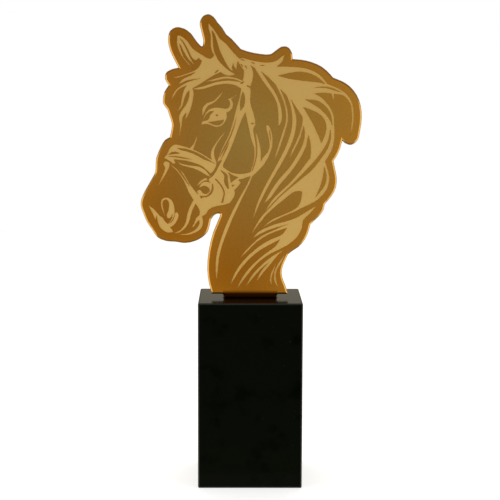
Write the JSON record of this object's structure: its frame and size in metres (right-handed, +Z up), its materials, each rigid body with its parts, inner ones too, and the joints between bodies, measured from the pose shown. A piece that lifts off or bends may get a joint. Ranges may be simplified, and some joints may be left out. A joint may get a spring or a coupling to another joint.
{
  "type": "horse head trophy",
  "caption": "Desk trophy: a flat engraved gold mirror plate in the shape of a bridled horse head, standing in a black stone plinth.",
  "frame": {"origin": "middle of the plinth's underside", "axes": "+Z up, -Y is the front, which the engraved face looks to, +X to the viewer's right"},
  "size_m": [0.1063, 0.05, 0.2264],
  "materials": {
    "black_stone": "polished black stone with a few pale specks",
    "gold_mirror_acrylic": "gold mirror acrylic, engraved areas matt, cut edges polished"
  },
  "bodies": {
    "root": {"plinth": "black_stone", "horse_plate": "gold_mirror_acrylic"}
  },
  "joints": []
}
